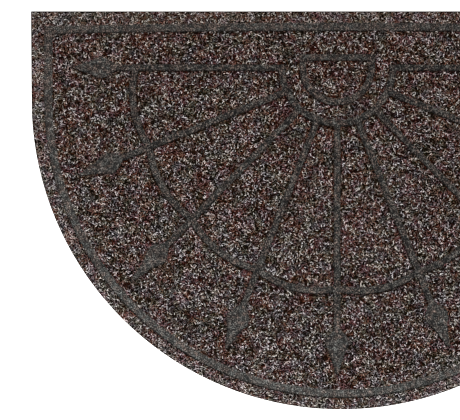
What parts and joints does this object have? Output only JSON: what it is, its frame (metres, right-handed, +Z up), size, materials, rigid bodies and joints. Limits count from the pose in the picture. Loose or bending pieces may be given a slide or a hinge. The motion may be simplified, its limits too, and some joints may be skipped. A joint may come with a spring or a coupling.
{
  "type": "half-round doormat",
  "caption": "Flat half-round doormat of dark curled fibre with a fanlight pattern pressed into its top, laid at a door to wipe shoes on.",
  "frame": {"origin": "under the middle of the mat's width and depth, on the floor", "axes": "+X along the straight back edge, to the right for someone who faces the door; +Y towards the straight back edge, which lies at the threshold; +Z up"},
  "size_m": [0.9186, 0.589, 0.0095],
  "materials": {
    "felted_fibre": "matt needle-punched fibre in mixed dark browns and greys"
  },
  "bodies": {
    "root": {"doormat": "felted_fibre"}
  },
  "joints": []
}
